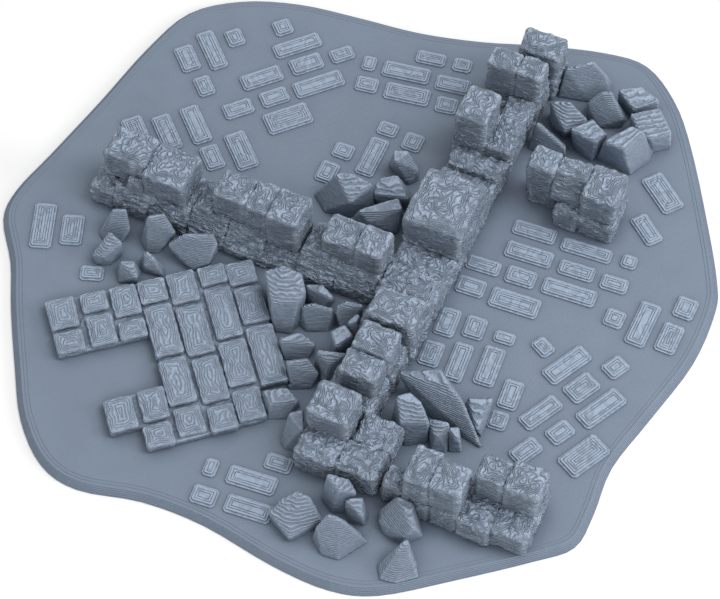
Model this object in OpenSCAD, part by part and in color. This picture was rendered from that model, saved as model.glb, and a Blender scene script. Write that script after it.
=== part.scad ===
// Ruined stone building on an irregular bevelled scenic base, a tabletop terrain piece.
// +Z is up, the underside lies on z = 0, and the origin is the middle of the base's bounding box.
// Heights of stones and rocks are counted from the top of the base plate.

/* [Base plate] */
// Thickness of the base plate
base_t = 1.2; // [1:0.2:3]
// How far the bevelled rim leans in from bottom to top
rim_lean = 1.1; // [0.6:0.1:1.6]
// Levels that make up the bevelled rim
rim_levels = 6; // [3:1:8]
// How far the building's own origin lies from the base's, towards the far side
building_shift = 0.75; // [0:0.05:1]

/* [Walls] */
// Turn of the whole wall grid about the building's origin
wall_turn = -24; // [-26:0.5:-22]
// Height of the footing course
course = 4.8; // [4.4:0.1:5.2]
// Height of a full wall block's top
crest = 10; // [9.4:0.1:11]
// Bevel on every edge of a wall stone
stone_bevel = 0.3; // [0.2:0.05:0.7]

/* [Floor and paving] */
// Turn of the raised floor about the building's origin
floor_turn = 15.5; // [14.5:0.5:16.5]
// Height of the mortar bed between the floor slabs
bed_h = 0.6; // [0.5:0.1:1]
// Height of the floor slabs' tops
slab_top = 1.8; // [1.6:0.1:2.2]
// Pitch of the floor slab rows
slab_pitch = 4.6; // [4.6:0.05:4.7]
// Height of the low-relief paving
paving_h = 0.5; // [0.3:0.1:0.8]

/* [Rubble] */
// Clear gap between a rock and what it leans on
rock_gap = 0.2; // [0.15:0.05:0.3]

/* [Hidden] */
print_colour = [0.42, 0.47, 0.55];

// Rim of the base, counter-clockwise; a smooth closed curve runs through these points
rim_points = [
    [54.7, -1], [54, 10], [52.5, 24], [50.5, 33], [46.5, 40], [40, 42.7], [30, 44.2], [20, 45], [10, 46.8],
    [0, 50], [-9.5, 52.7], [-19, 53.3], [-27.5, 50.8], [-34, 43.5], [-41, 33], [-48, 23], [-53, 16],
    [-54.7, 10.5], [-53, 2.5], [-52.3, -6], [-51, -16], [-49.5, -25], [-46, -32.5], [-40.5, -36.5],
    [-31, -38.5], [-22, -42.3], [-12, -48.7], [-4, -52.5], [3, -53.3], [13.5, -51], [25, -48],
    [31, -45.8], [34, -40.5], [37, -33], [43, -25], [50, -15.5], [54, -6.5]
];
rim_smooth = 4;

// A wall stone is [across from, across to, along from, along to, foot, top] in the wall grid; a worn
// one goes on with where its top starts to slope down to the near side, and how high it is there
footing_groups = [
    ["long_wall_footing_far", [
        [9, 15.4, 41.6, 46.5, 0, course], [6, 10.7, 35.8, 41.2, 0, course],
        [10.9, 14.6, 35.8, 41.2, 0, course]]],
    ["long_wall_footing_corner", [
        [5.8, 10.3, 31.3, 35.5, 0, course], [5.2, 10.3, 24.7, 31, 0, 6.5],
        [10.5, 14.3, 25, 35.5, 0, 6.2], [6, 14.5, 20.9, 24.4, 0, 4.6],
        [5.5, 14.2, 15.9, 20.6, 0, 3.6]]],
    ["long_wall_footing_middle", [
        [5.2, 14.2, 5.2, 10.3, 0, course], [5.4, 14.2, 10.5, 15.6, 0, course],
        [5.4, 14.2, 0.6, 4.9, 0, 4.2], [5.4, 14.2, -3.8, 0.3, 0, course]]],
    ["long_wall_footing_near", [
        [5.5, 14, -12.1, -4.1, 0, course], [6, 13.6, -18, -12.4, 0, course],
        [5.8, 13.2, -24.6, -18.3, 0, course]]],
    ["long_wall_footing_end", [
        [5.6, 11.7, -34.8, -24.9, 0, course], [12, 18, -34.6, -29.8, 0, course],
        [12.6, 18.2, -29.5, -24.9, 0, course]]],
    ["left_arm_footing_outer", [
        [-42.6, -38.9, -5, -0.3, 0, 4], [-38.6, -33, -5.2, 2.6, 0, course, -4.1, 2.6],
        [-32.7, -26.5, -5.2, 2.7, 0, course, -3.5, 2.2]]],
    ["left_arm_footing_inner", [
        [-26.2, -20.3, -5.2, 2.6, 0, course, -2.4, 1.8], [-19.9, -14, -5.4, 2.7, 0, course, -2.4, 1.4],
        [-13.7, -8, -5.2, 2.7, 0, 2.8, -2.9, 1.2], [-7.7, -2, -5.4, 2.6, 0, course, -2.4, 1.6],
        [-1.7, 4.9, -5, 2.4, 0, course, -2.6, 1.8]]],
    ["right_stub_footing", [
        [18.8, 23.4, 22.4, 25.8, 0, course], [24.2, 27.8, 19.6, 25.6, 0, course],
        [28, 33.4, 19.8, 26, 0, 4.4]]],
    ["south_stub_footing", [
        [19.3, 22.2, -34.6, -31, 0, course], [22.5, 26.5, -35, -28.4, 0, 4.2],
        [26.8, 30.8, -35, -28.6, 0, 4.2], [31.1, 35.8, -35.3, -26, 0, 4.2],
        [36, 41.2, -34.6, -25.6, 0, 4.2]]]
];
long_wall_blocks = [
    [[9, 15.4, 42, 46.4, course, crest]], [[6, 10.7, 35.9, 39.6, course, 11.8]],
    [[10.9, 14.7, 35.9, 39.6, course, 11.9]], [[5.4, 10.3, 24.7, 30.8, 6.5, 12]],
    [[5.2, 14.2, 5.3, 15.3, course, crest]],
    [[6.8, 14, -12, -6.8, course, 9.6]], [[9.8, 14.2, -6.6, -4.2, course, 8.1]],
    [[7.3, 12.9, -18, -13.4, course, crest]], [[6.9, 12.6, -22.2, -18.2, course, 9.4]],
    [[5.7, 11.7, -30.4, -25, course, 9.8]]
];
left_arm_blocks = [
    [[-41, -34.3, -2.4, 3, course, 10.2], [-36.5, -34.4, -4, -2.6, course, 7.2]],
    [[-34.1, -27.4, -3.4, 3, course, 9.8]], [[-22.8, -17.6, -2.2, 2.6, course, 9.8]],
    [[-17.4, -13.9, -2.3, 2.8, course, 9.8]], [[-13.7, -8.7, -2.8, 2.7, 2.8, crest]],
    [[-4.8, 0.4, -2.2, 2.6, course, 8.8]], [[0.6, 4.8, -2.4, 2.4, course, 9.4]]
];
right_stub_blocks = [
    [[18.6, 22.7, 21.9, 25.8, course, crest]], [[22.9, 27.9, 20.9, 25.6, course, 9.9, 22.9, 6.4]],
    [[28.1, 33.2, 20, 26, course, crest]]
];
south_stub_blocks = [
    [[22.6, 26.2, -34.8, -29, 4.2, 9.6]], [[26.4, 30.9, -34.6, -29.8, 4.2, 9.8]],
    [[31.8, 35.9, -30.4, -26.4, 4.2, 9.6]], [[36.1, 41, -30.6, -25.8, 4.2, 9.8]]
];

// The floor's rows run along its second axis; a slab is [start, end, shift across the row]
first_row = -47.1;
slab_w = 4.3;
floor_rows = [
    [[0.6, 6.1, 0], [-3.7, 0.2, 0.1]],
    [[2.3, 5.9, 0.6], [-3.7, 1.8, 0.6], [-18.7, -13, 0.1]],
    [[0.3, 5.9, 0.5], [-3.8, -0.4, 0.5], [-18.3, -12.7, 0.6], [-22.7, -18.8, 0.1]],
    [[1.5, 5.8, 0.2], [-8.1, 1, 0.2], [-16.7, -8.6, 0.2], [-22.1, -17.2, 0.4]],
    [[0.2, 5.9, 0.1], [-9.2, -0.3, 0.2], [-17.6, -9.7, 0.4], [-22.6, -18.2, 0.6]],
    [[2.2, 5.8, 0.4], [-7.5, 1.7, 0.4], [-15.9, -8, 0.2], [-22, -16.5, 0.2]],
    [[1.1, 5.3, 0], [-6, 0.6, 0.2], [-16.9, -6.5, 0.2]]
];
bed_points = [
    [-47.4, 6.4], [-15.1, 5.9], [-14.9, -17.2], [-19.9, -17.2], [-19.9, -22.4], [-38, -23],
    [-38, -19], [-42.8, -19], [-42.8, -12.7], [-33.2, -12.4], [-33.2, -4.1], [-47.4, -4.1]
];

// A paving patch is [name, turn, stones]; a stone is [x, y, length along the turn, width across it]
paving_patches = [
    ["paving_north_west", 22, [
        [-19.8, 44.2, 2.8, 3.4], [-23.4, 41.7, 2.9, 7.9], [-27.3, 40, 3.1, 5.2], [-24.4, 34.5, 2.7, 3.9],
        [-12.1, 46.3, 3, 3.1], [-9.7, 42.6, 7.9, 2.9], [-8.2, 38.9, 5.3, 3.2], [-2.5, 40.8, 3.9, 2.7],
        [-6.2, 34.9, 8.2, 3.2], [-15.3, 36.1, 6.8, 3.1], [-13.2, 32.3, 4.5, 3.1], [-11, 28.1, 7.4, 4.2],
        [-18.9, 30, 4.8, 3], [-25.5, 26.9, 3.1, 7.5], [-18.2, 21.9, 3.5, 7.3], [-30, 25.4, 3.1, 7],
        [-35.1, 26.2, 3.4, 4.4], [-22.7, 20.6, 3, 4.7]]],
    ["paving_north", -15, [
        [7.8, 37.2, 7.7, 3.1], [11.8, 40, 4.8, 2.5], [7.9, 32.9, 7.3, 3.3], [15.2, 34.7, 5.6, 3],
        [14.1, 30.7, 3.4, 3.1], [1.5, 34.8, 3.6, 2.9], [1.9, 39, 2.2, 2.8], [16.8, 38.6, 3, 2.6]]],
    ["paving_north_corner", -23, [
        [8.7, 23.5, 3.1, 3.4], [-2.2, 21.8, 3.2, 2.9], [2.3, 20.7, 3, 7.5], [4.8, 26, 3.2, 2.6],
        [-4.7, 17.8, 3, 4]]],
    ["paving_east", -20.5, [
        [27.2, 6.6, 6.8, 2.7], [26.2, 2.5, 7.4, 3], [35, 3.2, 8, 2.5], [33.3, -0.5, 5.6, 2.7],
        [24.8, -1.6, 4.7, 3.1], [32, -4.3, 8.4, 3], [38.9, -2.9, 4.2, 2.7], [23.7, -6.2, 7.7, 3.6],
        [19.2, 0.5, 5.3, 2.6], [17.2, -3.3, 4.4, 3.1], [41.4, 1.1, 2.4, 2.4]]],
    ["paving_rim_far", 27, [[44.4, 7, 2.9, 5.6], [47.3, 13.8, 3.7, 7.3]]],
    ["paving_rim_near", -25, [
        [49.4, -7.2, 3.2, 3.8], [42.8, -10, 3.2, 8], [46.6, -12.5, 3.2, 5.3], [38.6, -9, 3, 3.1]]],
    ["paving_south_east", 38, [
        [27.7, -14, 2.5, 3.2], [31.1, -17.1, 7.7, 3.1], [38.3, -17.5, 3.6, 3], [33.1, -21, 5, 3.5],
        [35.8, -24.5, 7.8, 3.2], [29.6, -28.5, 4, 2.9], [32.9, -32.4, 7.2, 4], [24.5, -31.6, 4.7, 2.9],
        [26.9, -25.2, 6.8, 2.8]]],
    ["paving_middle", -20, [
        [13.5, -9.6, 3.2, 5], [11, -15.1, 3.2, 4.4], [15, -16.6, 2.9, 6.8], [17.6, -10.6, 3.2, 3.9],
        [22, -12.4, 3.2, 2.1], [19.6, -17.3, 3.2, 6.9], [22.6, -22.2, 3, 5], [20.6, -26.5, 2.8, 3.1]]],
    ["paving_west", -4, [
        [-48.3, 7.8, 3.4, 8.2], [-43.8, 7, 3.4, 5.5], [-40.3, -0.9, 3.6, 2.6]]],
    ["paving_south_west", -19, [
        [-21.2, -34.3, 2, 2.9], [-22, -38.9, 3.8, 3], [-15.2, -36.4, 7.4, 3.1],
        [-15.6, -41, 7, 3], [-11.4, -33.6, 4, 2.7]]]
];

// A heap is [name, rocks]; a rock is [corners of its foot, corners of its crest with their heights].
// Where two rocks of a heap meet, the later one in the list is trimmed
rubble_heaps = [
    ["rubble_north_east", [
        [[[32, 32.5], [37, 31.5], [40, 33], [40.5, 35], [38, 36], [34, 35.5]],
            [[33, 34, 5], [37, 35, 5.5], [39, 34, 3.5]]],
        [[[37.5, 20.5], [42.5, 17.5], [45.5, 20], [46, 21.5], [44, 22], [39, 22]],
            [[38.5, 19.5, 6], [42.5, 22, 6], [44, 21.5, 5.5], [41, 18.5, 5.5]]],
        [[[30.5, 26.5], [32.5, 24.5], [35.5, 25.5], [36, 27.5], [34, 28.5], [31, 29]],
            [[30.5, 28, 4.5], [33, 27.5, 5], [35.5, 25, 4], [32.5, 23.5, 3.5]]],
        [[[36.5, 28], [38, 26.5], [41.5, 26.5], [42.5, 28], [40, 30], [37.5, 31]],
            [[38.5, 29.5, 5], [39.5, 29.5, 5], [41.5, 26.5, 2.5], [36.5, 29, 3]]],
        [[[34, 22.5], [36.5, 20], [38, 21.5], [39, 22.5], [37, 24.5], [34.5, 24.5]],
            [[33.5, 22.5, 5], [36.5, 24, 5], [38.5, 21.5, 4.5], [37, 20.5, 4.5]]],
        [[[27, 22.5], [29.5, 20.5], [32.5, 21], [32.5, 23], [28.5, 24.5]],
            [[28, 23.5, 5], [32, 20.5, 3]]],
        [[[43, 26.5], [45.5, 21.5], [49, 22.5], [49, 24.5], [47.5, 27]],
            [[43, 25.5, 4.5], [47, 26.5, 4.5], [48.5, 23, 3.5], [44.5, 21.5, 3.5]]],
        [[[41.5, 31.5], [43.5, 28], [47.5, 29.5], [47, 31.5], [44.5, 32]],
            [[41.5, 31, 3.5], [44.5, 31.5, 3.5], [47, 29.5, 3], [43.5, 28, 3]]]]],
    ["rubble_west", [
        [[[-33, 5], [-32, 3], [-30.5, 3], [-28.5, 5], [-29.5, 7], [-32, 7]],
            [[-31.5, 6, 5], [-29.5, 6.5, 5], [-28, 4.5, 3.5]]],
        [[[-39.5, 6.5], [-38.5, 5], [-36, 5], [-35, 7], [-36, 8.5], [-38, 8.5]],
            [[-37, 8, 4], [-35.5, 8, 4], [-35, 6, 2]]],
        [[[-40.3, 1.8], [-39.4, 0.8], [-37.5, 0.8], [-36, 2.5], [-36.5, 3.8], [-39, 4]],
            [[-37.5, 3.8, 3.8], [-36, 2.5, 3.5], [-39.8, 1.3, 2], [-38.6, 0.9, 2.4]]],
        [[[-36.5, -0.5], [-36, -2.5], [-33.5, -2.5], [-33, -0.5], [-34, 0.5], [-36, 0.5]],
            [[-35.5, -0.5, 2.5], [-34, -0.5, 2.5], [-33.5, -2.5, 2]]],
        [[[-33, 1], [-32.5, -0.5], [-29.5, -1.5], [-29.5, 0], [-31.5, 1.5]],
            [[-32, 1, 3], [-31, 0, 3], [-32, -0.5, 2]]],
        [[[-28.2, 2.8], [-24.7, -0.7], [-23.2, -0.5], [-21.4, 3], [-23, 4], [-26.6, 3.9]],
            [[-28.3, 2.6, 2.8], [-26, 3.2, 4.4], [-22, 3, 4.6], [-21.5, 2, 4]]]]],
    ["rubble_north", [
        [[[-6.5, 13.5], [-5, 10.5], [-1, 9.5], [2.5, 11.5], [2.5, 13.5], [-2.5, 15]],
            [[-3, 13.5, 5.5], [-1, 13.5, 5.5], [2, 12, 5], [-1, 9.5, 4.5]]],
        [[[2.5, 12.5], [5, 11], [8.5, 11.5], [8, 14], [4.5, 15]],
            [[4, 14, 3.5], [6, 14.5, 3.5], [7.5, 11, 3], [2, 12, 3]]],
        [[[-1, 8.5], [1, 6.5], [6, 6.5], [7, 9.5], [4.5, 10.5]],
            [[0.5, 7.5, 4.5], [6, 9.5, 4.5], [6.5, 8, 4.5], [2, 6.5, 3.5]]],
        [[[5, 19], [8, 15.5], [9.5, 16.5], [9, 19], [6.5, 20]],
            [[6, 18.5, 4.5], [7.5, 18.5, 4.5], [9, 16.5, 3], [6, 17, 4.5]]]]],
    ["rubble_floor_edge", [
        [[[-13.5, -5.5], [-12.5, -11], [-10, -11.5], [-8.5, -9.5], [-8, -5.5], [-10, -3.5]],
            [[-13.5, -4.5, 6], [-11, -4, 6.5], [-8.5, -5, 6], [-8, -7.5, 5.5], [-9, -9, 5], [-12.5, -9, 5]]],
        [[[-8.5, -10], [-7.5, -11], [-4.5, -11], [-3, -9.5], [-4, -8.5], [-7.5, -8]],
            [[-8, -9, 3.5], [-6.5, -9, 4], [-4, -9.5, 3.5]]],
        [[[-8, -5.5], [-6, -8], [-4, -6.5], [-3.5, -5.5], [-6.5, -5]],
            [[-7.5, -5, 3], [-5.5, -5, 3], [-4, -7, 3]]],
        [[[-2, -13], [-1, -14.5], [0.5, -14.5], [1.5, -12.5], [0, -12]],
            [[-1, -13.5, 6.5], [0, -12.5, 6.5], [1.5, -12.5, 6.5]]],
        [[[-3, -9.5], [-2, -11.5], [0, -10.5], [0.5, -9], [-1, -8.5]],
            [[-3, -9.5, 4], [-1.5, -9, 4.5], [0.5, -9.5, 4.5]]],
        [[[-11.5, -14.5], [-11, -16], [-7.5, -16], [-6.5, -14.5], [-8.5, -13]],
            [[-11.5, -14.5, 3], [-8.5, -13.5, 3], [-6.5, -15, 2.5]]],
        [[[-11, -19], [-10, -21], [-7, -21], [-6, -19.5], [-8.5, -17.5]],
            [[-10.5, -19, 4], [-7.5, -18.5, 4], [-6, -20, 3]]],
        [[[-14, -23], [-13, -26], [-10.5, -26], [-8.5, -24], [-10, -22.5]],
            [[-13.5, -23, 2.5], [-10.5, -23, 3], [-9, -24.5, 2.5], [-12.5, -25, 2.5]]]]],
    ["rubble_wall_foot", [
        [[[-4, -14.5], [-3.5, -17], [-1.5, -16.5], [-1, -14.5], [-2.5, -13.5]],
            [[-3.5, -15, 6], [-2, -14, 6], [-1, -15.5, 6], [-3, -17, 6]]],
        [[[-6.5, -18], [-5, -20.5], [-2, -20], [-1, -18], [-3.5, -17]],
            [[-5.5, -18, 5.5], [-2, -18.5, 5.5], [-4, -19.5, 5]]],
        [[[-11, -30], [-10.5, -31], [-8.5, -31.5], [-8, -29.5], [-9, -28]],
            [[-9.5, -28.5, 5.5], [-8, -28, 5.5], [-8, -30.5, 5.5], [-9.5, -29.5, 4]]]]],
    ["rubble_east", [
        [[[8, -22.5], [10.5, -25.5], [14.5, -27.5], [18, -31], [17.5, -29.5], [14.5, -23], [9, -21]],
            [[6.5, -21, 4.5], [12, -21, 5], [13, -23, 5], [15, -25.5, 4]]],
        [[[5, -27.5], [7, -30.5], [10, -30], [10.5, -28], [8, -25]],
            [[6, -26, 6], [7.5, -25.5, 6], [9, -27, 6], [10, -29.5, 5], [6.5, -29.5, 5]]],
        [[[10.5, -29.5], [11, -31.5], [13, -31.5], [13.2, -29]],
            [[10.5, -28.5, 3.5], [13, -29, 3.5], [11.5, -30.5, 3]]],
        [[[13.5, -30], [13.5, -31.5], [15, -31.5], [15, -29.5]],
            [[13.5, -29.5, 3], [14.5, -29.5, 3], [14.5, -31, 3]]],
        [[[15.5, -25], [16.5, -27], [18, -29], [19.5, -25], [19, -23.5], [16.5, -24]],
            [[16.5, -24, 2], [19.5, -24, 2], [17.5, -28.5, 1.5]]]]],
    ["rubble_south", [
        [[[-12.4, -42.4], [-11, -44.3], [-9.5, -46], [-5, -43.5], [-5.6, -41.5], [-8.2, -40.2], [-11, -40.8]],
            [[-8.5, -40.2, 3.4], [-10.4, -41, 2.9], [-12.2, -42.5, 2], [-9.6, -45.9, 1.3], [-5.4, -43.5, 1.8],
            [-7, -40.8, 3.1]]],
        [[[-5, -39.5], [-3.5, -41.5], [-1.5, -41.5], [-0.5, -40], [-1.5, -38.5]],
            [[-4, -38.5, 5.5], [-1.5, -39, 5], [-0.5, -40.5, 4.5], [-2.5, -40.5, 5]]],
        [[[-6.3, -45.8], [-5, -48.1], [-2.7, -48.9], [-1, -47.8], [1.2, -46.2], [0.6, -45.2], [-2.5, -44]],
            [[-4, -44.2, 4.2], [-2.3, -44.9, 4], [-0.7, -45.7, 2.6], [-5.5, -45.4, 3]]],
        [[[-1.5, -41.5], [-1, -43], [1, -43.5], [1.5, -42], [0, -41]],
            [[-1.5, -41.5, 4], [0.5, -41.5, 4], [0.5, -43.5, 3.5]]],
        [[[3.1, -43.2], [4.1, -45.1], [6.8, -46.5], [9.2, -45.3], [8.7, -42.6], [6.1, -41]],
            [[5.8, -41.4, 4.2], [7.6, -42.2, 4.2], [7.9, -45.6, 3.6], [6.6, -46.4, 2.4], [3.6, -42.2, 1.8],
            [3.4, -43.6, 1.4]]],
        [[[3, -50], [3.3, -52], [5.5, -52.6], [8.4, -51.6], [8.3, -50], [7.2, -47.8], [5.6, -48.4]],
            [[6.9, -48, 3.7], [6.1, -48.8, 3.4], [7.1, -49.2, 3]]]]]
];

// One node per row of the floor, and one per block of each wall
function numbered(name, list) = [for (i = [0:len(list) - 1]) str(name, i + 1)];
function names(list) = [for (item = list) item[0]];

// Point at t (0 to 1) of the smooth curve between b and c, with neighbours a and d
function curve_point(a, b, c, d, t) =
    0.5 * (2 * b + (c - a) * t + (2 * a - 5 * b + 4 * c - d) * t * t
    + (3 * b - a - 3 * c + d) * t * t * t);

function closed_curve(points, steps) = [
    for (i = [0:len(points) - 1], k = [0:steps - 1])
        curve_point(points[(i + len(points) - 1) % len(points)], points[i], points[(i + 1) % len(points)],
            points[(i + 2) % len(points)], k / steps)
];

module base_plate() {
    level = base_t / rim_levels;
    color(print_colour)
    for (i = [0:rim_levels - 1])
        translate([0, 0, i * level])
            linear_extrude(level)
                offset(delta = -i * rim_lean / (rim_levels - 1))
                    polygon(closed_curve(rim_points, rim_smooth));
}

module on_base() {
    translate([0, building_shift, base_t]) children();
}

// Rectangle from [0, 0] to [a, b] with its corners cut at 45 degrees
module cut_rectangle(a, b, cut) {
    polygon([[cut, 0], [a - cut, 0], [a, cut], [a, b - cut], [a - cut, b], [cut, b], [0, b - cut], [0, cut]]);
}

// Block with every edge bevelled
module bevelled_block(size, bevel) {
    intersection() {
        linear_extrude(size.z) cut_rectangle(size.x, size.y, bevel);
        translate([0, size.y, 0]) rotate([90, 0, 0]) linear_extrude(size.y)
            cut_rectangle(size.x, size.z, bevel);
        rotate([90, 0, 90]) linear_extrude(size.x) cut_rectangle(size.y, size.z, bevel);
    }
}

module wall_stone(s) {
    difference() {
        translate([s[0], s[2], s[4]])
            bevelled_block([s[1] - s[0], s[3] - s[2], s[5] - s[4]], stone_bevel);
        if (len(s) > 6)
            translate([s[0] - 1, 0, 0]) rotate([90, 0, 90]) linear_extrude(s[1] - s[0] + 2)
                polygon([[s[2] - 0.02, s[7]], [s[6] + 0.02, s[5] + 0.02], [s[6], s[5] + 1],
                    [s[2] - 1, s[5] + 1], [s[2] - 1, s[7]]]);
    }
}

module wall_stones(stones) {
    color(print_colour) on_base() rotate(wall_turn) for (s = stones) wall_stone(s);
}

// Ground plan of every footing stone, for what is laid up against the walls
module walls_plan() {
    rotate(wall_turn)
        for (group = footing_groups, s = group[1])
            translate([s[0], s[2]]) square([s[1] - s[0], s[3] - s[2]]);
}

module bed_plan() {
    rotate(floor_turn) polygon(bed_points);
}

module floor_bed() {
    color(print_colour) on_base() linear_extrude(bed_h) offset(delta = -0.4) bed_plan();
}

module floor_row(i) {
    color(print_colour) on_base() rotate(floor_turn)
        for (slab = floor_rows[i])
            translate([first_row + i * slab_pitch + slab[2], slab[0], bed_h])
                bevelled_block([slab_w - 0.5 * slab[2], slab[1] - slab[0] - 0.2, slab_top - bed_h], 0.25);
}

module paving(patch) {
    color(print_colour) on_base()
        linear_extrude(paving_h)
            difference() {
                for (s = patch[2])
                    translate([s[0], s[1]]) rotate(patch[1])
                        translate([-s[2] / 2, -s[3] / 2]) cut_rectangle(s[2], s[3], 0.4);
                offset(delta = rock_gap) walls_plan();
            }
}

// Angular rock between its foot and its crest
module rock(foot, crest) {
    corner = 0.3;
    hull() {
        linear_extrude(corner) polygon(foot);
        for (p = crest)
            translate([p.x - corner / 2, p.y - corner / 2, p.z - corner]) cube(corner);
    }
}

module rock_plan(foot, crest) {
    hull() polygon(concat(foot, [for (p = crest) [p.x, p.y]]));
}

// Rocks that lie together, each trimmed where it meets an earlier one, a wall or the floor
module heap(rocks) {
    tall = 20;
    color(print_colour) on_base()
        for (i = [0:len(rocks) - 1])
            difference() {
                rock(rocks[i][0], rocks[i][1]);
                translate([0, 0, -1]) linear_extrude(tall) offset(delta = rock_gap) {
                    walls_plan();
                    bed_plan();
                    if (i > 0)
                        for (j = [0:i - 1]) rock_plan(rocks[j][0], rocks[j][1]);
                }
            }
}

module block_nodes(name, blocks) {
    for (i = [0:len(blocks) - 1])
        wall_stones(blocks[i]);
}

base_plate();
floor_bed();
for (i = [0:len(floor_rows) - 1])
    floor_row(i);
for (patch = paving_patches)
    paving(patch);
for (group = footing_groups)
    wall_stones(group[1]);
block_nodes("long_wall_block_", long_wall_blocks);
block_nodes("left_arm_block_", left_arm_blocks);
block_nodes("right_stub_block_", right_stub_blocks);
block_nodes("south_stub_block_", south_stub_blocks);
for (i = [0:len(rubble_heaps) - 1])
    heap(rubble_heaps[i][1]);
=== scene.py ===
import math

import bpy
import numpy as np
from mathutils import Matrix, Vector


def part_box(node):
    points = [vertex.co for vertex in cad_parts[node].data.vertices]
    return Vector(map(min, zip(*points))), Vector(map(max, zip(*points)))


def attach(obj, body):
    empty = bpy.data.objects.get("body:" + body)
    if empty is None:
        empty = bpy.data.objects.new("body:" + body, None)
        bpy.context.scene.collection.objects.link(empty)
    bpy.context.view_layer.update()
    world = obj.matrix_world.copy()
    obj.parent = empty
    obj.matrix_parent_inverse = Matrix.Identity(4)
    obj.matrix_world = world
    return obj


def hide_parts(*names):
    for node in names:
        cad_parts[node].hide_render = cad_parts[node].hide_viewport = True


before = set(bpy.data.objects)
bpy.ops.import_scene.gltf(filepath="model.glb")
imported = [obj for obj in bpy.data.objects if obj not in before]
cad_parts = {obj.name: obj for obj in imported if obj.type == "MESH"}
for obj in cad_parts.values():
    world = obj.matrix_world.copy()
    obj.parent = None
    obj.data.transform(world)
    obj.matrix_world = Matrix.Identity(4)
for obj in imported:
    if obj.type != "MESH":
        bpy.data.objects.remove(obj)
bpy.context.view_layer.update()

mm = 0.001
cleanUp = {"mergeWithin": 0.002, "flatWithin": 0.5}  # mm and degrees


def selectOnly(piece):
    bpy.ops.object.select_all(action="DESELECT")
    piece.select_set(True)
    bpy.context.view_layer.objects.active = piece


def applyModifier(piece, kind, **settings):
    modifier = piece.modifiers.new(kind.title(), kind)
    for name, value in settings.items():
        setattr(modifier, name, value)
    selectOnly(piece)
    bpy.ops.object.modifier_apply(modifier=modifier.name)


def copyOfNode(nodeName, pieceName):
    # A node's mesh is loose triangles, so the copy is merged before anything else
    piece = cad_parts[nodeName].copy()
    piece.data = piece.data.copy()
    piece.name = piece.data.name = pieceName
    piece.parent = None
    for key in list(piece.keys()):
        del piece[key]
    bpy.context.scene.collection.objects.link(piece)
    selectOnly(piece)
    bpy.ops.object.mode_set(mode="EDIT")
    bpy.ops.mesh.select_all(action="SELECT")
    bpy.ops.mesh.remove_doubles(threshold=cleanUp["mergeWithin"] * mm)
    bpy.ops.mesh.dissolve_limited(angle_limit=math.radians(cleanUp["flatWithin"]))
    bpy.ops.object.mode_set(mode="OBJECT")
    return piece


def finishPiece(piece, nodeName, material):
    piece.data.materials.clear()
    piece.data.materials.append(material)
    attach(piece, "root")
    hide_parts(nodeName)


class Value:
    # Wraps a socket, so that expressions add Math nodes
    def __init__(self, shop, socket):
        self.shop = shop
        self.socket = socket

    def operate(self, operation, first, second):
        return self.shop.add("ShaderNodeMath", {"operation": operation}, {0: first, 1: second})

    def __add__(self, other):
        return self.operate("ADD", self, other)

    def __radd__(self, other):
        return self.operate("ADD", other, self)

    def __sub__(self, other):
        return self.operate("SUBTRACT", self, other)

    def __rsub__(self, other):
        return self.operate("SUBTRACT", other, self)

    def __mul__(self, other):
        return self.operate("MULTIPLY", self, other)

    def __rmul__(self, other):
        return self.operate("MULTIPLY", other, self)


class Shop:
    # Adds nodes to one material
    def __init__(self, name):
        self.material = bpy.data.materials.new(name)
        self.material.use_nodes = True
        self.tree = self.material.node_tree
        self.tree.nodes.clear()

    def add(self, kind, settings=None, inputs=None, output=0):
        node = self.tree.nodes.new(kind)
        for name, value in (settings or {}).items():
            if name == "stops":
                ramp = node.color_ramp
                while len(ramp.elements) < len(value):
                    ramp.elements.new(0.5)
                for element, (place, colour) in zip(ramp.elements, value):
                    element.position = place
                    element.color = colour
            else:
                setattr(node, name, value)
        for name, value in (inputs or {}).items():
            if isinstance(value, Value):
                self.tree.links.new(value.socket, node.inputs[name])
            else:
                node.inputs[name].default_value = value
        return Value(self, node.outputs[output]) if node.outputs else None

    def clamp(self, value):
        return self.add("ShaderNodeClamp", None, {0: value, 1: 0.0, 2: 1.0})

    def noise(self, place, scale, **inputs):
        return self.add("ShaderNodeTexNoise", None, {"Vector": place, "Scale": scale, **inputs})

    def wave(self, phase):
        # Rounded ridges, one per unit of phase
        ridge = self.add("ShaderNodeMath", {"operation": "PINGPONG"}, {0: phase, 1: 0.5}) * 2
        return ridge * ridge * (3 - 2 * ridge)

    def surface(self, shader):
        self.add("ShaderNodeOutputMaterial", None, {"Surface": shader})
        return self.material


# Sizes and pitches in mm, scales in features per mm; a share is how much it moves the colour
plastic = {
    # Painted shade pulls the colour towards dark, painted highlights towards pale, and bright is the
    # painted glint
    "dark": (0.120, 0.153, 0.204, 1),
    "shade": (0.205, 0.257, 0.334, 1),
    "pale": (0.310, 0.384, 0.492, 1),
    "bright": (0.600, 0.680, 0.790, 1),
    "stops": (0.25, 0.8, 1.0),
    "offset": -0.21,
    "roughness": 0.48,
    "roughnessSpread": 0.12,
    "ior": 1.46,
    "layer": 0.2,
    "swirlSize": 2.5,
    "linePitch": 0.42,
    "bandPitch": 0.9,
    "bandTurns": 5,
    "bandShare": 0.9,
    "strataScale": 0.95,
    "strataFlatness": 2.4,
    "fineScale": 3.5,
    "fineDepth": 0.02,
    "fineShare": 0.15,
    "toneScale": 0.22,
    "toneShare": 0.15,
    "nookReach": 2.6,
    "nookShare": 0.72,
    "edgeGain": 7,
    "glintReach": 0.75,
    "speckGain": 4,
    "speckFloor": 1.2,
}
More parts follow.
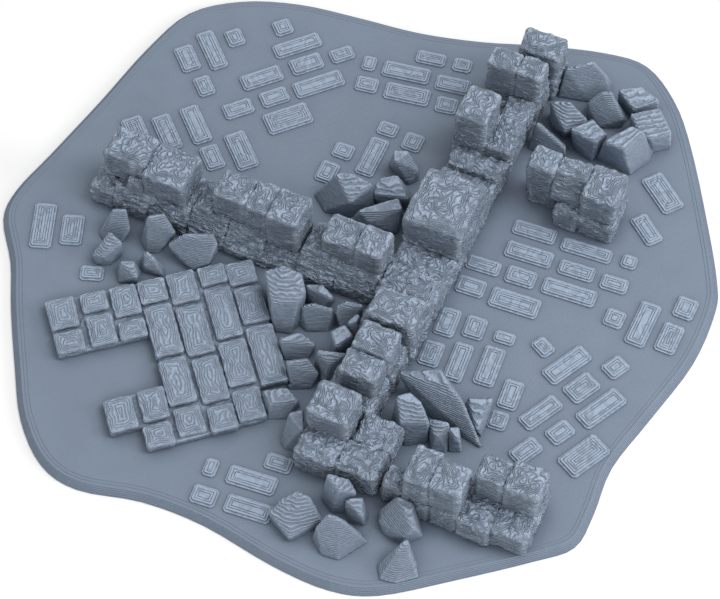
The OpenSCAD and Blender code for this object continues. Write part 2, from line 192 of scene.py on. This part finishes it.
# Turns of the swirl, depth of a bead in mm, distance between loops, how much slopes lose, roughness
# of the strata, depth of the fill lines and of the bands on steep sides, then what moves the colour:
# beads, painted as darker grooves and paler ridges, an even lift, painted highlights on the corners,
# and painted highlights on convex edges with painted shade in hollows
finishes = {
    "block": {"turns": 9.0, "bead": 0.27, "pitch": 0.7, "fade": 0.0, "strata": 0.35, "line": 0.0,
              "band": 0.32, "contrast": 0.55, "lift": 0.08, "glint": 0.9, "edge": 0.6},
    "footing": {"turns": 9.0, "bead": 0.27, "pitch": 0.7, "fade": 0.0, "strata": 0.4, "line": 0.0,
                "band": 0.4, "contrast": 0.55, "lift": 0.26, "glint": 0.8, "edge": 0.6},
    "slab": {"turns": 3.0, "bead": 0.15, "pitch": 0.5, "fade": 0.0, "strata": 0.15, "line": 0.0,
             "band": 0.0, "contrast": 0.28, "lift": 0.12, "glint": 0.3, "edge": 0.6},
    "rock": {"turns": 1.0, "bead": 0.34, "pitch": 1.0, "fade": 0.92, "strata": 0.12, "line": 0.0,
             "band": 0.06, "contrast": 0.5, "lift": 0.05, "glint": 0.0, "edge": 0.6},
    "paver": {"turns": 5.0, "bead": 0.06, "pitch": 1.0, "fade": 0.0, "strata": 0.05, "line": 0.02,
              "band": 0.0, "contrast": 0.3, "lift": 0.04, "glint": 0.0, "edge": 0.6},
    "base": {"turns": 0.0, "bead": 0.04, "pitch": 1.0, "fade": 0.0, "strata": 0.0, "line": 0.018,
             "band": 0.0, "contrast": 0.3, "lift": -0.02, "glint": 0.0, "edge": 0.0},
}


def plasticMaterial(name, finish):
    shop = Shop(name)
    place = shop.add("ShaderNodeTexCoord", None, None, "Object")
    inMm = shop.add("ShaderNodeVectorMath", {"operation": "SCALE"}, {0: place, 3: 1 / mm})
    x, y, z = [shop.add("ShaderNodeSeparateXYZ", None, {0: inMm}, axis) for axis in "XYZ"]
    inward, corner, level = [
        shop.add("ShaderNodeAttribute", {"attribute_name": mark}, None, "Fac")
        for mark in ("inward", "corner", "level")]

    # Loops follow the outline on a top and the layers on a side
    swirl = shop.noise(inMm, 1 / plastic["swirlSize"], Detail=1.0, Roughness=0.4)
    phase = z * (1 / plastic["layer"]) + swirl * finish["turns"] + inward * (1 / finish["pitch"])
    strength = (1 - finish["fade"]) + level * level * finish["fade"]
    rounded = shop.wave(phase) * strength
    bandPhase = z * (1 / plastic["bandPitch"]) + swirl * plastic["bandTurns"]
    band = shop.wave(bandPhase) * (1 - level)
    fine = shop.noise(inMm, plastic["fineScale"], Detail=2.0)
    flattened = shop.add("ShaderNodeVectorMath", {"operation": "MULTIPLY"},
                         {0: inMm, 1: (1, 1, plastic["strataFlatness"])})
    strata = shop.noise(flattened, plastic["strataScale"], Detail=1.0)

    height = rounded * finish["bead"] + band * finish["band"]
    if finish["line"]:
        fill = shop.wave((x + y) * (math.sqrt(0.5) / plastic["linePitch"]))
        height = height + fill * level * finish["line"]
    height = height + fine * plastic["fineDepth"] + strata * finish["strata"]
    normal = shop.add("ShaderNodeBump", None,
                      {"Strength": 1.0, "Distance": mm, "Height": height}, "Normal")

    # Painted shade and highlight: darker in the crevices and the bead grooves, paler on the ridges
    # and on the upright corners
    # Painted highlight on convex edges and painted shade in hollows, from the surface's pointiness
    edge = shop.add("ShaderNodeNewGeometry", None, None, "Pointiness")
    ridge = shop.clamp((edge - 0.5) * plastic["edgeGain"] + 0.5)
    # Painted highlight: paler near the corners of each stone's top
    glint = shop.clamp(1 - corner * (1 / plastic["glintReach"]))
    tone = shop.noise(inMm, plastic["toneScale"], Detail=2.0)
    # Painted shade: an occlusion pass darkens the colour where nearby surfaces close in
    nookShade = shop.add("ShaderNodeAmbientOcclusion", {"samples": 8},
                    {"Distance": plastic["nookReach"] * mm}, "AO")
    # The bead colour is painted shade in the grooves and painted highlight on the ridges
    mix = tone * plastic["toneShare"] + rounded * finish["contrast"]
    mix = mix + fine * plastic["fineShare"] + nookShade * plastic["nookShare"]
    mix = mix + (ridge - 0.5) * finish["edge"] + glint * finish["glint"]
    mix = mix + band * finish["band"] * plastic["bandShare"]
    mix = shop.clamp(mix + (finish["lift"] + plastic["offset"]))
    shades = [plastic["dark"], plastic["shade"], plastic["pale"]]
    stops = list(zip(plastic["stops"], shades))
    colour = shop.add("ShaderNodeValToRGB", {"stops": stops}, {0: mix})
    # Painted glint: specks of the bright colour on the upright corners
    if finish["glint"]:
        speck = fine * plastic["speckGain"] - plastic["speckFloor"]
        paintedGlint = shop.clamp(glint * (1 - level) * speck * finish["glint"])
        colour = shop.add("ShaderNodeMix", {"data_type": "RGBA"},
                          {0: paintedGlint, 6: colour, 7: plastic["bright"]}, 2)
    shader = shop.add("ShaderNodeBsdfPrincipled", None, {
        "Base Color": colour,
        "Roughness": plastic["roughness"] + fine * plastic["roughnessSpread"],
        "Normal": normal,
        "IOR": plastic["ior"]})
    return shop.surface(shader)


materials = {kind: plasticMaterial(kind + "Plastic", finish) for kind, finish in finishes.items()}

# Sizes in mm; the crown is the top's drop, the width of each step and their number, and a wear is
# the size of its lumps and their height
carving = {
    "block": {"voxel": 0.17, "smooth": 1, "grow": 0.22, "crown": (0.16, 0.42, 2),
              "lumps": (3.2, 0.44), "strata": (1.2, 0.50), "grit": (0.5, 0.12)},
    "footing": {"voxel": 0.17, "smooth": 1, "grow": 0.22, "crown": (0.2, 0.42, 2),
                "lumps": (2.4, 0.60), "strata": (1.0, 0.72), "grit": (0.5, 0.14)},
    "slab": {"voxel": 0.15, "smooth": 9, "grow": 0.06, "crown": (0.2, 0.36, 2),
             "lumps": (2.0, 0.26), "strata": (1.2, 0.16), "grit": (0.5, 0.08)},
    "bed": {"voxel": 0.17, "smooth": 2, "grow": 0.05, "crown": None, "rise": 0.3,
            "lumps": (2.6, 0.20), "strata": (1.2, 0.12), "grit": (0.5, 0.10)},
    "rock": {"voxel": 0.15, "smooth": 0, "grow": 0.18, "crown": None,
             "lumps": (2.6, 0.16), "strata": (0.9, 0.12), "grit": (0.5, 0.07)},
}
facing = {"upright": 0.99, "smallestTop": 1.0}  # least upward part of a normal, and mm2
strataFlatness = 0.36


def selectFaces(piece, wanted):
    # Leaves the piece in edit mode with the wanted faces selected
    selectOnly(piece)
    bpy.ops.object.mode_set(mode="EDIT")
    bpy.ops.mesh.select_mode(type="FACE")
    bpy.ops.mesh.select_all(action="DESELECT")
    bpy.ops.object.mode_set(mode="OBJECT")
    for face in piece.data.polygons:
        face.select = wanted(face)
    bpy.ops.object.mode_set(mode="EDIT")


def isTop(face):
    return face.normal.z > facing["upright"] and face.area > facing["smallestTop"] * mm * mm


def isUnderside(face):
    return face.normal.z < -facing["upright"]


def raiseFaces(piece, wanted, rise):
    selectFaces(piece, wanted)
    bpy.ops.transform.translate(value=(0, 0, rise))
    bpy.ops.object.mode_set(mode="OBJECT")


def topOutlines(piece):
    # Corners of every stone's top, for the distance to its nearest edge
    corners = piece.data.vertices
    return [np.array([corners[index].co[:2] for index in face.vertices])
            for face in piece.data.polygons if isTop(face)]


def markBeads(piece, outlines):
    # Each point keeps how far in from its own top's edge it lies and how far from its nearest
    # corner, both in mm, and how level the surface is there
    count = len(piece.data.vertices)
    place = np.zeros(count * 3, np.float32)
    piece.data.vertices.foreach_get("co", place)
    place = place.reshape(-1, 3)[:, :2]
    inward = np.zeros(count, np.float32)
    corner = np.full(count, mm, np.float32)
    for outline in outlines:
        along = np.roll(outline, -1, axis=0) - outline
        along = along / np.linalg.norm(along, axis=1)[:, None]
        away = place[:, None, :] - outline[None]
        distance = (away[..., 1] * along[:, 0] - away[..., 0] * along[:, 1]).min(axis=1)
        inward = np.maximum(inward, distance)
        corner = np.minimum(corner, np.linalg.norm(away, axis=2).min(axis=1))
    normals = np.zeros(count * 3, np.float32)
    piece.data.vertices.foreach_get("normal", normals)
    level = np.abs(normals[2::3])
    for name, values in (("inward", inward / mm), ("corner", corner / mm), ("level", level)):
        attribute = piece.data.attributes.new(name, "FLOAT", "POINT")
        attribute.data.foreach_set("value", values.astype(np.float32))


def crownTops(piece, drop, width, steps):
    # The top's outer ring drops and the middle keeps its height
    selectFaces(piece, isTop)
    bpy.ops.transform.translate(value=(0, 0, -drop * mm))
    for _ in range(steps):
        bpy.ops.mesh.inset(thickness=width * mm, depth=drop / steps * mm, use_individual=True)
    bpy.ops.object.mode_set(mode="OBJECT")


def cloud(name, size):
    texture = bpy.data.textures.new(name, "CLOUDS")
    texture.noise_scale = size * mm
    texture.noise_depth = 1
    return texture


# A squashed empty flattens the strata, and goes when the stones are done
strataFrame = bpy.data.objects.new("strataFrame", None)
strataFrame.scale = (1, 1, strataFlatness)
bpy.context.scene.collection.objects.link(strataFrame)
bpy.context.view_layer.update()


def carve(piece, kind):
    wear = carving[kind]
    outlines = topOutlines(piece)
    if wear["crown"]:
        crownTops(piece, *wear["crown"])
    applyModifier(piece, "REMESH", mode="VOXEL", voxel_size=wear["voxel"] * mm, adaptivity=0.0)
    applyModifier(piece, "SMOOTH", factor=0.5, iterations=wear["smooth"])
    for layer in ("lumps", "strata", "grit"):
        size, strength = wear[layer]
        settings = {"texture_coords": "LOCAL"}
        if layer == "strata":
            settings = {"texture_coords_object": strataFrame, "texture_coords": "OBJECT"}
        growth = wear["grow"] / strength if layer == "lumps" else 0
        applyModifier(piece, "DISPLACE", texture=cloud(kind + layer, size), direction="NORMAL",
                      strength=strength * mm, mid_level=0.5 - growth, **settings)
    markBeads(piece, outlines if wear["crown"] else [])
    selectOnly(piece)
    bpy.ops.object.shade_smooth()


def carveStone(piece, nodeName, kind):
    if kind == "slab":
        # A slab reaches down to the base, and the bed fills the joints
        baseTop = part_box("base_plate")[1].z
        raiseFaces(piece, isUnderside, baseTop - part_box(nodeName)[0].z)
    if kind == "bed":
        raiseFaces(piece, isTop, carving["bed"]["rise"] * mm)
    carve(piece, kind)


paving = {"lipWidth": 0.30, "lipHeight": 0.24, "ledge": 0.05, "bead": 0.26, "groove": 0.06,
          "grooveDepth": 0.07, "loops": 4, "narrowest": 0.95, "mergeWithin": 0.12}
loopMerge = 0.036


def inset(width, rise, mergeWithin):
    # Short corner edges close up as the loops step in
    bpy.ops.mesh.inset(thickness=width * mm, depth=rise * mm, use_individual=True)
    bpy.ops.mesh.remove_doubles(threshold=mergeWithin * mm)


def pressGroove(width, depth):
    inset(width, -depth, loopMerge)
    inset(width, depth, loopMerge)


def faceWidth(piece, face):
    # Width across the face's longest edge
    corners = [piece.data.vertices[index].co for index in face.vertices]
    edges = [corners[i] - corners[i - 1] for i in range(len(corners))]
    along = max(edges, key=lambda edge: edge.length).normalized()
    across = along.cross(Vector((0, 0, 1)))
    places = [corner.dot(across) for corner in corners]
    return max(places) - min(places)


def keepWideFaces(piece, narrowest):
    bpy.ops.object.mode_set(mode="OBJECT")
    count = 0
    for face in piece.data.polygons:
        if face.select and faceWidth(piece, face) < narrowest * mm:
            face.select = False
        count += face.select
    bpy.ops.object.mode_set(mode="EDIT")
    return count


def printPavers(piece, nodeName):
    # A low first layer, a second one stepped in from it, and bead loops towards the middle
    height = (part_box(nodeName)[1].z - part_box("base_plate")[1].z) / mm
    selectFaces(piece, isTop)
    bpy.ops.transform.translate(value=(0, 0, (paving["lipHeight"] - height) * mm))
    inset(paving["lipWidth"], 0, paving["mergeWithin"])
    inset(paving["ledge"], height - paving["lipHeight"], loopMerge)
    for _ in range(paving["loops"]):
        if not keepWideFaces(piece, paving["narrowest"]):
            break
        inset(paving["bead"], 0, paving["mergeWithin"])
        pressGroove(paving["groove"], paving["grooveDepth"])
    bpy.ops.object.mode_set(mode="OBJECT")
    markBeads(piece, [])
    selectOnly(piece)
    bpy.ops.object.shade_flat()


def kindOf(nodeName):
    kinds = {"paving": "paver", "rubble": "rock", "floor_bed": "bed", "floor_row": "slab",
             "footing": "footing"}
    for part, kind in kinds.items():
        if part in nodeName:
            return kind
    return "block"


for nodeName in sorted(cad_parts):
    if nodeName == "base_plate":
        continue
    piece = copyOfNode(nodeName, nodeName + "_printed")
    kind = kindOf(nodeName)
    if kind == "paver":
        printPavers(piece, nodeName)
    else:
        carveStone(piece, nodeName, kind)
    finishPiece(piece, nodeName, materials["slab" if kind == "bed" else kind])
bpy.data.objects.remove(strataFrame)
print("stones carved")

rim = {"layers": 6, "lean": 1.1, "perimeters": 2, "bead": 0.34, "groove": 0.07, "grooveDepth": 0.07}


def printBase():
    # Starts from the underside's outline and steps in layer by layer
    piece = copyOfNode("base_plate", "base_plate_printed")
    low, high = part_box("base_plate")
    layer = (high.z - low.z) / rim["layers"]
    halfStep = rim["lean"] * mm / rim["layers"] * 0.5
    selectFaces(piece, lambda face: not isUnderside(face))
    bpy.ops.mesh.delete(type="FACE")
    bpy.ops.mesh.select_all(action="SELECT")
    bpy.ops.mesh.extrude_region_move()
    bpy.ops.transform.translate(value=(0, 0, layer))
    bpy.ops.mesh.flip_normals()
    for _ in range(rim["layers"] - 1):
        bpy.ops.mesh.inset(thickness=halfStep, depth=0)
        bpy.ops.mesh.inset(thickness=halfStep, depth=layer)
    for _ in range(rim["perimeters"]):
        inset(rim["bead"], 0, loopMerge)
        pressGroove(rim["groove"], rim["grooveDepth"])
    bpy.ops.mesh.select_all(action="SELECT")
    bpy.ops.mesh.normals_make_consistent(inside=False)
    bpy.ops.object.mode_set(mode="OBJECT")
    markBeads(piece, [])
    finishPiece(piece, "base_plate", materials["base"])


printBase()
print("base printed")

studio = {"floorShade": (0.93, 0.93, 0.93, 1), "floorRoughness": 0.9, "floorSize": 3.0,
          "floorDrop": 0.00002, "airShade": (1.0, 1.0, 1.0, 1), "airGlow": 0.67}
bpy.ops.object.select_all(action="DESELECT")
bpy.ops.mesh.primitive_plane_add(size=studio["floorSize"], location=(0, 0, -studio["floorDrop"]))
floor = bpy.context.object
floor.name = "studioFloor"
floorShop = Shop("paleFloor")
floorShader = floorShop.add("ShaderNodeBsdfPrincipled", None, {
    "Base Color": studio["floorShade"], "Roughness": studio["floorRoughness"]})
floor.data.materials.append(floorShop.surface(floorShader))

world = bpy.data.worlds.new("studio")
bpy.context.scene.world = world
world.use_nodes = True
air = world.node_tree.nodes["Background"]
air.inputs["Color"].default_value = studio["airShade"]
air.inputs["Strength"].default_value = studio["airGlow"]


def turnTo(place, aim):
    return (Vector(aim) - Vector(place)).to_track_quat("-Z", "Y").to_euler()


lamps = {
    "skyLight": {"place": (0.30, -0.02, 0.52), "width": 0.30, "power": 1.4},
    "sideLight": {"place": (0.50, -0.10, 0.22), "width": 0.2, "power": 0.95},
    "frontFill": {"place": (0.10, -0.60, 0.35), "width": 0.45, "power": 0.8},
}
for name, lamp in lamps.items():
    light = bpy.data.objects.new(name, bpy.data.lights.new(name, "AREA"))
    light.data.shape = "SQUARE"
    light.data.size = lamp["width"]
    light.data.energy = lamp["power"]
    light.location = lamp["place"]
    light.rotation_euler = turnTo(lamp["place"], (0, 0, 0))
    bpy.context.scene.collection.objects.link(light)
bpy.context.scene.view_settings.view_transform = "Standard"

view = {"lens": 125.0, "sensor": 36.0, "nearest": 0.01,
        "place": (0.0004, -0.2047, 0.3212), "aim": (0.0004, -0.0055, 0.0024)}
camera = bpy.data.objects.new("camera", bpy.data.cameras.new("camera"))
camera.data.lens = view["lens"]
camera.data.sensor_width = view["sensor"]
camera.data.clip_start = view["nearest"]
camera.location = view["place"]
camera.rotation_euler = turnTo(view["place"], view["aim"])
bpy.context.scene.collection.objects.link(camera)
bpy.context.scene.camera = camera
print("scene lit")
